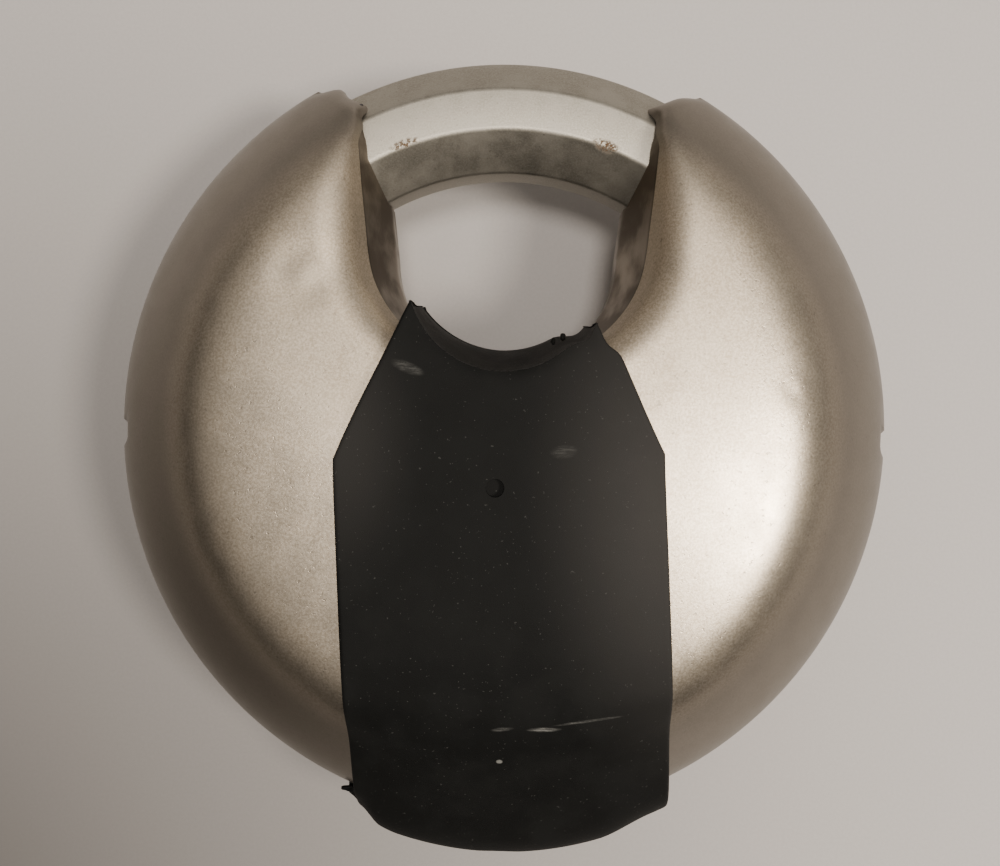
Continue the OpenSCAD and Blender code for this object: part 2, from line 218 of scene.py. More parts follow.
def resample(points, count):
    """The same line through the plan, with its points evenly spaced."""
    p = np.asarray(points, float)
    d = np.concatenate([[0], np.cumsum(np.hypot(*np.diff(p, axis=0).T))])
    s = np.linspace(0, d[-1], count)
    return np.stack([np.interp(s, d, p[:, 0]), np.interp(s, d, p[:, 1])], 1)


def soften(p, rounds):
    """Evens out a row of points in place; its two ends stay."""
    for _ in range(rounds):
        p[1:-1] = (p[:-2] + 2 * p[1:-1] + p[2:]) / 4
    return p


# ---- Shells ----------------------------------------------------------------

COLUMNS = 420
NOTCH_X, NOTCH_Y, NOTCH_HALF, NOTCH_DEEP = 34.9, -1.2, 1.1, 0.5

# The horns: their tips on the rim, the mouth of the throat between them, where the wall starts
# to widen towards the mouth, in length and in height, and the way a tip faces
TIP_Y, MOUTH_X, MOUTH_Y = 30.7, 13.4, 28.8
WIDEN_Y, WIDEN_LOW_Z, WIDEN_HIGH_Z = 24.5, 3.5, 6
MOUTH_TURN = math.radians(29)
BULGE_LEFT, BULGE_RIGHT = 1.1, 0.3
TIP_ROUND_LEFT, TIP_ROUND_RIGHT = 2.0, 1.1

# The lip: how far it rolls back over the face, at the throat and at each tip, and how deep
ROLL, ROLL_LEFT, ROLL_RIGHT = 2.6, 1.7, 1.0
ROLL_DEEP, ROLL_SHARE, LIP_LEAST = 3.2, 0.6, 0.4
CREST_ROUNDS = 6

# The rows of the surface: inset and height at the rim's seam, then counts over the face and lip
SEAM_ROWS = ((0.32, 0.03), (0.1, 0.12), (0.0, 0.3), (0.0, LAND_Z * 0.75))
FACE_ROWS, LIP_ROWS = 52, 17
WALL_STEPS = (0.33, 0.66, 1.0)
SEAM_SHEET, FACE_SHEET, WALL_SHEET = 0.2, SHEET * 0.9, SHEET * 0.8
TIP_SHEET = 0.12

# The opening for the lock cylinder in the bottom rim, and each dent's place, size and depth
OPENING_X, OPENING_Y = 6.4, -32.4
DENTS = [((-16.8, 12.5), 3.0, 0.10), ((24.5, 4.0), 2.0, 0.04), ((-24.0, -9.0), 1.6, 0.04)]


def rim_curve():
    """The rim from the left tip round the bottom to the right tip."""
    tip_x = math.sqrt(LENS_R**2 - TIP_Y**2)
    start = math.atan2(TIP_Y, -tip_x)
    end = math.pi + math.acos(LENS_D / LENS_R)
    angles = np.linspace(start, end, 400)
    left = [(LENS_D + LENS_R * math.cos(a), LENS_R * math.sin(a)) for a in angles]
    right = [(-x, y) for x, y in reversed(left)]
    return resample(left + right[1:], COLUMNS)


def throat_outline(half, depth, sides):
    """U-shaped outline: two sides given from the mouth down, and an elliptic floor."""
    floor = [
        (half * math.cos(a), THROAT_Y + depth * math.sin(a))
        for a in np.linspace(math.pi, 2 * math.pi, 120)
    ]
    left = [(-x, y) for x, y in sides]
    return soften(resample(left + floor + list(reversed(sides)), COLUMNS), 20)


def throat_curves():
    """The throat at the middle plane, and where its flare leaves the crown."""
    middle = throat_outline(THROAT_R, THROAT_R, [(11.3, MOUTH_Y), (11.2, 27)])
    sides = [(FLARE_HALF + 1, MOUTH_Y), (FLARE_HALF + 0.9, 26), (FLARE_HALF + 0.5, 20)]
    flare = throat_outline(FLARE_HALF, FLARE_DEPTH, sides)
    return middle, flare


def away_from_throat(curves):
    """Unit vectors in the plan that point out of the throat into the metal."""
    away = curves[1] - curves[0]
    return away / np.linalg.norm(away, axis=1)[:, None]


def from_ends(count):
    """How many columns each one is from the nearer end of its row."""
    columns = np.arange(count)
    return np.minimum(columns, columns[::-1])


def throat_at(curves, z):
    """The flared throat wall at a height for each column, pushed out to the mouth at the tips."""
    middle, flare = curves
    share = np.clip((z - FLARE_Z) / (CROWN + 1 - FLARE_Z), 0, 1)[:, None]
    wall = middle + (flare - middle) * share
    near = smooth(wall[:, 1], WIDEN_Y, MOUTH_Y) * smooth(z, WIDEN_LOW_Z, WIDEN_HIGH_Z)
    side = np.sign(wall[:, 0])
    wall[:, 0] += side * near * np.maximum(0, MOUTH_X - np.abs(wall[:, 0]))
    return wall


def quarter(d, a, b):
    """Drop of a rounded edge at a distance d from it: b at the edge, 0 beyond a."""
    q = np.clip((a - d) / a, 0, 1)
    return b * (1 - np.sqrt(np.maximum(0, 1 - q * q)))


def by_side(x, left, right):
    """One value on the left of the lock and another on its right."""
    return np.where(np.asarray(x) < 0, left, right)


def lip_crest(curves):
    """The line where the throat's wall would meet the face, if the lip weren't rolled."""
    crest_z = np.full(COLUMNS, CROWN)
    for _ in range(CREST_ROUNDS):
        crest = throat_at(curves, crest_z)
        crest_z = face_height(crest[:, 0], crest[:, 1])
    return crest, crest_z


def lip_start(curves, crest):
    """Where the face begins to roll over into the throat."""
    near_tip = smooth(crest[:, 1], 22, MOUTH_Y)
    side = np.sign(crest[:, 0])
    along = np.stack([side * math.cos(MOUTH_TURN), np.full(COLUMNS, math.sin(MOUTH_TURN))], 1)
    away = away_from_throat(curves)
    away = away * (1 - near_tip[:, None]) + along * near_tip[:, None]
    roll = ROLL + (by_side(side, ROLL_LEFT, ROLL_RIGHT) - ROLL) * near_tip
    return crest + away * roll[:, None]


def lip_foot(crest, crest_z):
    """Height at which the wall below the lip ends, on the liner or over the shackle's channel."""
    inside = face_height(crest[:, 0], crest[:, 1]) - SHEET - 0.1
    channel = channel_height(crest[:, 0], crest[:, 1])
    foot_z = np.maximum(channel, np.minimum(LIP_Z, inside))
    foot_z = foot_z + (channel - foot_z) * smooth(crest[:, 1], 24, 27)
    return np.minimum(foot_z, crest_z - LIP_LEAST)


def shell_rows():
    """Rows from the rim seam up over the face, round the lip and down the throat wall."""
    rim, curves = rim_curve(), throat_curves()
    crest, crest_z = lip_crest(curves)
    start = lip_start(curves, crest)
    foot_z = lip_foot(crest, crest_z)
    turn_z = crest_z - np.minimum(ROLL_DEEP, ROLL_SHARE * (crest_z - foot_z))
    rows, depth = [], []

    def add(p, z, thickness):
        rows.append(np.column_stack([p, z]))
        depth.append(thickness)

    notch = (np.abs(rim[:, 1] - NOTCH_Y) < NOTCH_HALF) & (np.abs(rim[:, 0]) > HALF_W - 2)
    dip = np.where(notch, NOTCH_DEEP, 0.0)
    out = rim / np.linalg.norm(rim, axis=1)[:, None]
    for inset, z in SEAM_ROWS:
        add(rim - out * (inset + dip)[:, None], np.full(COLUMNS, z), SEAM_SHEET)

    side = np.sign(crest[:, 0])
    bulge = by_side(side, BULGE_LEFT, BULGE_RIGHT) * (1 - smooth(from_ends(COLUMNS), 0, 30))
    for i, t in enumerate(1 - np.cos(np.linspace(0, math.pi / 2, FACE_ROWS))):
        p = rim * (1 - t) + start * t
        lift = bulge * math.sin(math.pi * t**1.8)
        p = p + np.stack([-side * lift * math.sin(MOUTH_TURN), lift * math.cos(MOUTH_TURN)], 1)
        z = face_height(p[:, 0], p[:, 1])
        p = p - out * (dip * max(0, 1 - t / 0.05))[:, None]
        add(p, z, SEAM_SHEET + (FACE_SHEET - SEAM_SHEET) * min(1, i / 14))

    top_z = face_height(start[:, 0], start[:, 1])
    first, corner = np.column_stack([start, top_z]), np.column_stack([crest, crest_z])
    last = np.column_stack([throat_at(curves, turn_z), turn_z])
    for t in np.linspace(0, 1, LIP_ROWS)[1:]:
        p = first * (1 - t) ** 2 + corner * 2 * t * (1 - t) + last * t**2
        add(p[:, :2], p[:, 2], FACE_SHEET)
    for t in WALL_STEPS:
        z = turn_z + (foot_z - turn_z) * t
        add(throat_at(curves, z), z, WALL_SHEET)
    return np.array(rows), np.array(depth)


def rounded_tips(grid):
    """Runs the tips' outline smoothly from the rim over the face to the lip, and rounds it."""
    end = 1 - smooth(from_ends(COLUMNS), 0, 12)[None, :, None]
    even = grid.copy()
    even[len(SEAM_ROWS):] = soften(even[len(SEAM_ROWS):], 40)
    grid = grid * (1 - end) + even * end

    step = np.linalg.norm(np.diff(grid[..., :2], axis=1), axis=2)
    run = np.concatenate([np.zeros((len(grid), 1)), np.cumsum(step, axis=1)], 1)
    run = np.minimum(run, run[:, -1:] - run)
    radius = by_side(grid[..., 0], TIP_ROUND_LEFT, TIP_ROUND_RIGHT)
    grid[..., 2] -= quarter(run, radius, radius * 1.1) * smooth(grid[..., 2], 0.6, 2.6)
    return grid


def add_dents(grid):
    """Presses a faint ring into the face at each dent."""
    for (cx, cy), size, deep in DENTS:
        d = np.hypot(grid[..., 0] - cx, grid[..., 1] - cy) / size
        grid[..., 2] -= deep * np.exp(-((d - 0.55) ** 2) * 6) * (grid[..., 2] > 6)


def tip_wall(edge):
    """Columns that close a tip from its edge down to the seam or the shackle's channel."""
    low = np.maximum(channel_height(edge[:, 0], edge[:, 1]), SEAM_ROWS[0][1])
    low = np.minimum(low, edge[:, 2])
    drop = low - edge[:, 2]
    return np.stack([np.column_stack([edge[:, :2], edge[:, 2] + drop * k]) for k in WALL_STEPS], 1)


def shell_surface():
    """The shell's outer surface as a grid, and the sheet's thickness at each of its points."""
    grid, depth = shell_rows()
    grid = rounded_tips(grid)
    add_dents(grid)
    grid = np.concatenate([tip_wall(grid[:, 0])[:, ::-1], grid, tip_wall(grid[:, -1])], 1)
    taper = TIP_SHEET + (1 - TIP_SHEET) * smooth(from_ends(grid.shape[1]), 6, 26)
    return grid, depth[:, None] * taper[None, :]


def make_shell(name, mirror):
    """One dished shell, open at the bottom rim for the lock cylinder."""
    grid, depth = shell_surface()
    centre = (grid[:-1, :-1] + grid[1:, 1:]) / 2
    keep = ~((np.abs(centre[..., 0]) < OPENING_X) & (centre[..., 1] < OPENING_Y))
    obj = sheet_object(name, grid, depth, keep, mirror)
    shade_smooth(obj, 40)
    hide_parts(name.replace("_skin", ""))
    return obj


# ---- Throat liner ----------------------------------------------------------

LINER_TOP_Y, LINER_ROWS = 26.6, 22
LINER_RECESS, LINER_BACK = 0.22, 0.75


def make_liner():
    """The smooth strip along the throat between the two lips, open where the shackle passes."""
    curves = throat_curves()
    wall = curves[0]
    use = np.flatnonzero(wall[:, 1] < LINER_TOP_Y)
    low = channel_height(wall[:, 0], wall[:, 1])
    away = away_from_throat(curves)[use]
    parts = []
    for sign in (1, -1):
        rows = []
        for k in np.linspace(0, 1, LINER_ROWS):
            z = (LIP_Z - 0.05) * (1 - k) + low * k
            rows.append(np.column_stack([throat_at(curves, z), sign * z])[use])
        parts.append(np.array(rows if sign > 0 else rows[::-1]))
    verts, faces = [], []
    for grid in parts:
        back = grid.copy()
        grid[..., :2] += away[None] * LINER_RECESS
        back[..., :2] += away[None] * LINER_BACK
        everywhere = np.ones((grid.shape[0] - 1, grid.shape[1] - 1), bool)
        points, part = closed_sheet(grid, back, everywhere)
        faces += [tuple(v + len(verts) for v in f) for f in part]
        verts += points.tolist()
    obj = make_object("throat_liner_skin", verts, faces)
    tidy_mesh(obj)
    shade_smooth(obj, 40)
    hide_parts("throat_liner")
    return obj


# ---- Shackle ---------------------------------------------------------------

# Angles about the pivot in degrees, from the right; radii and heights in millimetres
FREE_END, TAIL_END, FORK_ANGLE = 56, 180, 240
ARM_START, ARM_END = 154, 166
FORK_NEAR, FORK_FAR = 21.5, 46
SWEEP_STEP = 1.0
RING_EASE, PRONG_EASE = 0.5, 0.15


def rounded(corners, r, steps=4):
    """A closed outline with its corners rounded by arcs that begin r before them."""
    out = []
    pts = [np.array(c, float) for c in corners]
    for before, at, after in zip(pts[-1:] + pts[:-1], pts, pts[1:] + pts[:1]):
        a = at + (before - at) / np.linalg.norm(before - at) * r
        b = at + (after - at) / np.linalg.norm(after - at) * r
        for t in np.linspace(0, 1, steps + 1):
            out.append(a * (1 - t) ** 2 + at * 2 * t * (1 - t) + b * t * t)
    return np.array(out)


def shrunk(outline, by):
    """An outline moved inwards towards its middle."""
    middle = outline.mean(0)
    size = np.linalg.norm(outline - middle, axis=1)[:, None]
    return middle + (outline - middle) * (1 - by / size)


def swept(outline, start, end, ease=0.0):
    """A closed solid: an outline of radius and height turned about the pivot between two angles.

    With ease, the outline shrinks by that much at both ends, over a quarter round of that radius.
    """
    full = end - start >= 360
    count = max(2, int((end - start) / SWEEP_STEP))
    stations = [(a, 0.0) for a in np.linspace(start, end, count + 1)]
    if ease:
        turn = math.degrees(ease / outline[:, 0].mean())
        quarters = np.linspace(math.pi / 2, 0, 5)
        lead = [(turn * (1 - math.sin(q)), ease * (1 - math.cos(q))) for q in quarters]
        stations = (
            [(start + a, d) for a, d in lead]
            + [x for x in stations if start + turn < x[0] < end - turn]
            + [(end - a, d) for a, d in reversed(lead)]
        )
    if full:
        stations = stations[:-1]
    verts, n = [], len(outline)
    for angle, inset in stations:
        shape = shrunk(outline, inset) if inset else outline
        c, w = math.cos(math.radians(angle)), math.sin(math.radians(angle))
        verts += [(r * c, PIVOT_Y + r * w, z) for r, z in shape]
    faces = []
    last = len(stations) if full else len(stations) - 1
    for i in range(last):
        k = (i + 1) % len(stations)
        faces += [(i * n + j, i * n + (j + 1) % n, k * n + (j + 1) % n, k * n + j) for j in range(n)]
    if not full:
        faces += [tuple(range(n)), tuple(range((len(stations) - 1) * n, len(stations) * n))]
    return verts, faces


def make_shackle():
    """The octagonal ring with its arm, hub and the two prongs of its fork."""
    h, f = RING_HALF, RING_FLAT
    octagon = [(-f, -h), (f, -h), (h, -f), (h, f), (f, h), (-f, h), (-h, f), (-h, -f)]
    ring = rounded([(RING_MID + r, z) for r, z in octagon], 0.28)

    def box(r0, r1, z0, z1):
        return rounded([(r0, z0), (r1, z0), (r1, z1), (r0, z1)], 0.15, 2)

    arm = box(7.5, RING_MID, -4.9, -1.9)
    hub_plate = box(2.6, 8.5, -4.97, -1.8)
    hub = box(2.2, 3.2, -RING_HALF, RING_HALF)
    prong = box(7, 9, -RING_HALF, RING_HALF)
    solids = [
        swept(ring, FREE_END, TAIL_END, RING_EASE),
        swept(arm, ARM_START, ARM_END),
        swept(hub_plate, ARM_END - 4, FORK_ANGLE + FORK_FAR - 2),
        swept(hub, 0, 360),
        swept(prong, FORK_ANGLE - FORK_FAR, FORK_ANGLE - FORK_NEAR, PRONG_EASE),
        swept(prong, FORK_ANGLE + FORK_NEAR, FORK_ANGLE + FORK_FAR, PRONG_EASE),
    ]
    verts, faces = [], []
    for points, part in solids:
        faces += [tuple(v + len(verts) for v in face) for face in part]
        verts += points
    obj = make_object("shackle_skin", verts, faces, body="shackle")
    tidy_mesh(obj)
    shade_smooth(obj, 24)
    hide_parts("shackle")
    return obj


# ---- Covers ----------------------------------------------------------------

# The saddle's arc and half width, at the middle plane and at the front face
SADDLE_R, SADDLE_Y, SADDLE_X = 9.3, 16.5, 7.4
FRONT_R, FRONT_Y, SHOULDER_X = 7.9, 12.4, 7.5

# Where the slanted shoulders end, and where the face gives way to the nose
CHAMFER_Y, NOSE_TOP_Y = -2.4, -14
NOSE_WIDEN, NOSE_BOW, SKEW, EDGE_R = 0.03, 0.0035, 0.055, 0.35
SADDLE_ROWS, SHOULDER_ROWS, FACE_BAND_ROWS, NOSE_ROWS = 36, 30, 14, 90
COVER_SHEET, CORNER_SHEET = 0.9, 0.15

# The ragged corners of the saddle: place of both, reach, and how much each one strays; the right
# corner is worn down as well
WEAR_X, WEAR_Y, WEAR_R = 6.6, 9.0, 2.0
STRAY_LEFT, STRAY_RIGHT, WORN_DOWN = 0.7, 0.15, 1.6

KEY_ENTRY_R, KEY_ENTRY_DEEP = 4.3, 6
DIMPLE, DIMPLE_R, DIMPLE_DEEP = (-0.7, -4.9), 0.75, 1.5


def saddle_row(u, k):
    """Row k of the saddle, 0 at the middle plane and 1 at the front face."""
    bend = math.sin(k * math.pi / 2) ** 1.5
    r = SADDLE_R + (FRONT_R - SADDLE_R) * bend
    yc = SADDLE_Y + (FRONT_Y - SADDLE_Y) * bend
    reach = SADDLE_X + (SHOULDER_X - SADDLE_X) * bend
    x = u * reach
    y = yc - np.sqrt(r * r - x * x)
    z = np.full_like(u, COVER_Z * (1 - (1 - k) ** 1.35) * 0.985)
    return x, y, z


def nose_profile():
    """Radius and height from the flat face round the nose to the middle plane."""
    tip_r = NOSE_R - 0.02
    corners = [
        (15, COVER_Z), (19, COVER_Z - 0.15), (22.8, COVER_Z - 0.7), (26.5, 11.7), (29.6, 9.9),
        (33, 7.9), (36.4, 5.8), (NOSE_R - 0.5, 4.3), (tip_r, 2.8), (tip_r, 0.0),
    ]
    return soften(resample(corners, NOSE_ROWS), 14)


def cover_surface():
    """Rows from the middle plane over the saddle, down the face and round the nose."""
    u = np.linspace(-1, 1, 61)
    u = np.sign(u) * (1 - (1 - np.abs(u)) ** 1.25)
    rows = [saddle_row(u, k) for k in np.linspace(0, 1, SADDLE_ROWS)]
    y0 = rows[-1][1]
    for k in np.linspace(0, 1, SHOULDER_ROWS)[1:]:
        edge = SHOULDER_X + (COVER_HALF - SHOULDER_X) * k
        rise = 1 - 0.015 * np.exp(-k * 14)
        rows.append((u * edge, y0 * (1 - k) + CHAMFER_Y * k, np.full_like(u, COVER_Z * rise)))
    for y in np.linspace(CHAMFER_Y, NOSE_TOP_Y, FACE_BAND_ROWS)[1:]:
        rows.append((u * COVER_HALF, np.full_like(u, y), np.full_like(u, COVER_Z)))
    for r, z in nose_profile():
        widen = smooth(r, 27, NOSE_R)
        x = u * COVER_HALF * (1 + NOSE_WIDEN * widen)
        blend = smooth(r, 21, 30)
        arc = -np.sqrt(r * r - x * x) + NOSE_BOW * x * x * widen
        rows.append((x, arc * blend - r * (1 - blend), np.full_like(u, z)))
    grid = np.stack([np.stack(r, 1) for r in rows], 0)
    # The nose's left corner is worn round
    corner = smooth(-grid[..., 0], 12.0, 13.7) * smooth(-grid[..., 1], 31, 34)
    grid[..., 1] += 0.9 * corner
    return grid


def unit(vectors):
    """Plan vectors at a length of 1."""
    return vectors / np.maximum(1e-6, np.hypot(vectors[:, 0], vectors[:, 1]))[:, None]


def skirted(grid):
    """Adds a rounded edge and a skirt down towards the shell at both sides."""
    cols = [grid]
    for side, next_in in ((0, 1), (-1, -2)):
        edge = grid[:, side]
        out = unit(soften(unit(edge[:, :2] - grid[:, next_in, :2]), 30))
        under = face_height(edge[:, 0], edge[:, 1])
        inside_rim = np.hypot(np.abs(edge[:, 0]) + LENS_D, edge[:, 1]) < LENS_R
        floor = np.where(inside_rim, np.minimum(under - 0.15, edge[:, 2] - 0.5), 0.0)
        floor = np.maximum(np.minimum(floor, edge[:, 2]), 0.0)
        strip = []
        for q in np.linspace(0, math.pi / 2, 6)[1:]:
            z = np.maximum(edge[:, 2] - EDGE_R * (1 - math.cos(q)), 0)
            strip.append(np.column_stack([edge[:, :2] + out * EDGE_R * math.sin(q), z]))
        low = strip[-1]
        drop = np.minimum(floor, low[:, 2]) - low[:, 2]
        for k in (0.35, 0.7, 1.0):
            strip.append(np.column_stack([low[:, :2], low[:, 2] + drop * k]))
        strip = np.stack(strip, 1)
        cols = [strip[:, ::-1], *cols] if side == 0 else [*cols, strip]
    return np.concatenate(cols, 1)


def skewed(grid):
    """The worn front cover sits a little askew: its nose leans to the right."""
    out = grid.copy()
    lean = smooth(-grid[..., 1], -6, 6)
    out[..., 0] += (SKEW * (-grid[..., 1] - 6.5)) * lean
    out[..., 1] += SKEW * 0.7 * grid[..., 0] * lean
    out[..., 0] = out[..., 0] * 0.99 - 0.25
    out[..., 1] += 0.6 * smooth(-out[..., 1], 28, 37) * smooth(np.abs(out[..., 0]), 9, 13.5)
    out[..., 1] = np.maximum(out[..., 1], -NOSE_R)
    return out


def wear(points):
    """Slightly ragged rubber at the saddle's corners and soft unevenness elsewhere."""
    out = points.copy()
    for i, (x, y, z) in enumerate(points):
        near = max(0.0, 1 - math.hypot(abs(x) - WEAR_X, (y - WEAR_Y) * 0.9) / WEAR_R)
        if near > 0 and z > 4:
            p = Vector((x * 0.8, y * 0.8, z * 0.3))
            bump = noise.noise_vector(p) * 0.4 + noise.noise_vector(p * 3.1) * 0.1
            out[i, 1] += near * bump.y * (STRAY_LEFT if x < 0 else STRAY_RIGHT)
            out[i, 2] += near * min(0.0, bump.z) * 0.3
        soft = noise.noise(Vector((x * 0.12, y * 0.12, z * 0.12 + 5)))
        out[i, 2] += 0.05 * soft if abs(z) > 6 else 0
    return out


def cut(obj, location, radius, depth, axis):
    """Drills a round hole along an axis, centred on a place in the frame."""
    bm = bmesh.new()
    r = radius * MM
    bmesh.ops.create_cone(bm, cap_ends=True, segments=64, radius1=r, radius2=r, depth=depth * MM)
    mesh = bpy.data.meshes.new("drill")
    bm.to_mesh(mesh)
    bm.free()
    tool = bpy.data.objects.new("drill", mesh)
    tool.location = Vector(location) * MM
    tool.rotation_euler = (math.pi / 2, 0, 0) if axis == "Y" else (0, 0, 0)
    bpy.context.scene.collection.objects.link(tool)
    bpy.context.view_layer.update()
    modifier = obj.modifiers.new("hole", "BOOLEAN")
    modifier.operation, modifier.object, modifier.solver = "DIFFERENCE", tool, "MANIFOLD"
    apply_modifiers(obj)
    bpy.data.objects.remove(tool)


def make_cover(name, mirror):
    """One rubber cover; the front one sits askew and has the dimple."""
    grid = skirted(cover_surface())
    if not mirror:
        grid = skewed(grid)
    grid[..., 1] -= WORN_DOWN * smooth(grid[..., 0], 4.2, 7.2) * smooth(grid[..., 1], 5.5, 9)
    shape = grid.shape
    grid = wear(grid.reshape(-1, 3)).reshape(shape)
    grid[..., 2] = np.clip(grid[..., 2], 0, COVER_Z)
    keep = np.ones((shape[0] - 1, shape[1] - 1), bool)
    # The sheet thins out at the sharp ends of the saddle
    high = 1 - smooth(np.arange(shape[0]), 45, 75)
    outer = 1 - smooth(from_ends(shape[1]), 10, 24)
    thin = high[:, None] * outer[None, :]
    obj = sheet_object(name, grid, COVER_SHEET - (COVER_SHEET - CORNER_SHEET) * thin, keep, mirror)
    cut(obj, (0, -NOSE_R, MID_Z), KEY_ENTRY_R, KEY_ENTRY_DEEP, "Y")
    if not mirror:
        cut(obj, (*DIMPLE, MID_Z + COVER_Z), DIMPLE_R, DIMPLE_DEEP, "Z")
    shade_smooth(obj, 38)
    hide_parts(name.replace("_skin", ""))
    return obj


# ---- Materials -------------------------------------------------------------


class Nodes:
    """Short names for building a node material over object coordinates in millimetres."""

    def __init__(self, name):
        self.mat = bpy.data.materials.new(name)
        self.mat.use_nodes = True
        self.tree = self.mat.node_tree
        self.shader = self.tree.nodes["Principled BSDF"]
        coords = self.tree.nodes.new("ShaderNodeTexCoord")
        scale = self.tree.nodes.new("ShaderNodeVectorMath")
        scale.operation = "SCALE"
        scale.inputs["Scale"].default_value = 1 / MM
        self.link(coords.outputs["Object"], scale.inputs[0])
        self.mm = scale.outputs[0]

    def link(self, a, b):
        """Joins an output to an input."""
        self.tree.links.new(a, b)

    def stretch(self, x, y, z):
        """The coordinates, each axis scaled on its own."""
        node = self.tree.nodes.new("ShaderNodeVectorMath")
        node.operation = "MULTIPLY"
        node.inputs[1].default_value = (x, y, z)
        self.link(self.mm, node.inputs[0])
        return node.outputs[0]

    def noise(self, scale, detail=4, rough=0.55, vector=None):
        """Noise from 0 to 1, with about scale features to a millimetre."""
        node = self.tree.nodes.new("ShaderNodeTexNoise")
        node.inputs["Scale"].default_value = scale
        node.inputs["Detail"].default_value = detail
        node.inputs["Roughness"].default_value = rough
        self.link(vector or self.mm, node.inputs["Vector"])
        return node.outputs["Fac"]

    def ramp(self, fac, low, high, a=0.0, b=1.0):
        """An eased step from a to b as fac goes from low to high."""
        node = self.tree.nodes.new("ShaderNodeMapRange")
        node.interpolation_type = "SMOOTHSTEP"
        for key, value in zip(("From Min", "From Max", "To Min", "To Max"), (low, high, a, b)):
            node.inputs[key].default_value = value
        self.link(fac, node.inputs["Value"])
        return node.outputs["Result"]

    def math(self, op, a, b):
        """One operation on two values or sockets."""
        node = self.tree.nodes.new("ShaderNodeMath")
        node.operation = op
        for i, v in enumerate((a, b)):
            if isinstance(v, (int, float)):
                node.inputs[i].default_value = v
            else:
                self.link(v, node.inputs[i])
        return node.outputs[0]

    def mix(self, fac, a, b):
        """Colour a where fac is 0 and b where it is 1."""
        node = self.tree.nodes.new("ShaderNodeMix")
        node.data_type = "RGBA"
        self.link(fac, node.inputs["Factor"])
        for key, v in (("A", a), ("B", b)):
            socket = [s for s in node.inputs if s.name == key and s.type == "RGBA"][0]
            if isinstance(v, tuple):
                socket.default_value = (*v, 1)
            else:
                self.link(v, socket)
        return [s for s in node.outputs if s.type == "RGBA"][0]

    def reach(self, x, y, rx=1.0, ry=1.0, angle=0.0):
        """Distance over the plan from a point, in units of rx and ry."""
        move = self.tree.nodes.new("ShaderNodeMapping")
        move.vector_type = "TEXTURE"
        move.inputs["Location"].default_value = (x, y, 0)
        move.inputs["Rotation"].default_value = (0, 0, angle)
        move.inputs["Scale"].default_value = (rx, ry, 1e6)
        self.link(self.mm, move.inputs["Vector"])
        size = self.tree.nodes.new("ShaderNodeVectorMath")
        size.operation = "LENGTH"
        self.link(move.outputs[0], size.inputs[0])
        return size.outputs["Value"]

    def spot(self, x, y, rx, ry, angle=0.0):
        """1 inside an ellipse of the plan, 0 outside, with a soft edge."""
        return self.ramp(self.reach(x, y, rx, ry, angle), 0.45, 1.05, 1.0, 0.0)

    def bump(self, height, strength, distance):
        """Raises the surface by a height, over a distance in millimetres."""
        node = self.tree.nodes.new("ShaderNodeBump")
        node.inputs["Strength"].default_value = strength
        node.inputs["Distance"].default_value = distance * MM
        self.link(height, node.inputs["Height"])
        self.link(node.outputs[0], self.shader.inputs["Normal"])

    def set(self, **values):
        """Sets or joins inputs of the shader, by name."""
        for key, v in values.items():
            socket = self.shader.inputs[key.replace("_", " ")]
            if isinstance(v, (int, float)):
                socket.default_value = v
            elif isinstance(v, tuple):
                socket.default_value = (*v, 1)
            else:
                self.link(v, socket)


def metal(name, colour, dark, rough, grain=9.0, bump=0.05, streak=None):
    """Worn bare metal: tone that drifts, fine grain, and patches of duller finish."""
    n = Nodes(name)
    patch = n.ramp(n.noise(0.16, 3), 0.35, 0.7)
    fine = n.noise(grain, 5, 0.7, n.stretch(*streak) if streak else None)
    tone = n.math("ADD", n.math("MULTIPLY", patch, 0.55), n.math("MULTIPLY", fine, 0.45))
    n.set(Base_Color=n.mix(n.ramp(tone, 0.25, 0.75), dark, colour), Metallic=1.0)
    n.set(Roughness=n.ramp(tone, 0.2, 0.85, rough + 0.1, rough - 0.04))
    n.bump(fine, bump, 0.05)
    return n


def shell_steel():
    """Satin stainless: grained and duller round the lip, with painted shade on the outer slope and in
    the notches.
    """
    n = Nodes("satin_stainless")
    cloud = n.noise(0.07, 4, 0.6)
    patch = n.noise(0.35, 5, 0.65)
    grain = n.noise(5, 4, 0.75)
    specks = n.ramp(n.noise(2.6, 2, 0.5), 0.66, 0.72)
    pale = n.mix(n.ramp(cloud, 0.35, 0.68), (0.41, 0.345, 0.26), (0.50, 0.43, 0.335))
    tone = n.mix(n.ramp(patch, 0.4, 0.75), pale, (0.45, 0.375, 0.28))
    grainy = n.mix(n.ramp(grain, 0.36, 0.66), tone, (0.63, 0.55, 0.445))
    stain = n.mix(n.math("MULTIPLY", specks, 0.55), grainy, (0.30, 0.26, 0.21))
    # Painted shade: the two notches in the rim are coloured near black, for the shade that falls in
    # them.
    left, right = (n.spot(x, NOTCH_Y, 0.9, 1.2) for x in (-NOTCH_X, NOTCH_X))
    notch_shade = n.math("MAXIMUM", left, right)
    # Painted shade: the metal beyond the crease is coloured darker, standing in for the dim surroundings
    # that the slope reflects.
    slope = n.ramp(n.reach(0, 0, CREASE_R, CREASE_R), 0.93, 1.12, 0.0, 0.85)
    slope_shaded = n.mix(slope, stain, (0.165, 0.15, 0.13))
    n.set(Base_Color=n.mix(notch_shade, slope_shaded, (0.02, 0.018, 0.016)), Metallic=1.0)
    rough = n.math("ADD", n.ramp(patch, 0.3, 0.7, 0.27, 0.33), n.math("MULTIPLY", grain, 0.06))
    dull = n.ramp(n.reach(0, THROAT_Y), 14.5, 27, 0.22, 0.0)
    n.set(Roughness=n.math("ADD", rough, dull))
    n.bump(n.math("ADD", grain, n.math("MULTIPLY", specks, -1.5)), 0.16, 0.03)
    return n.mat


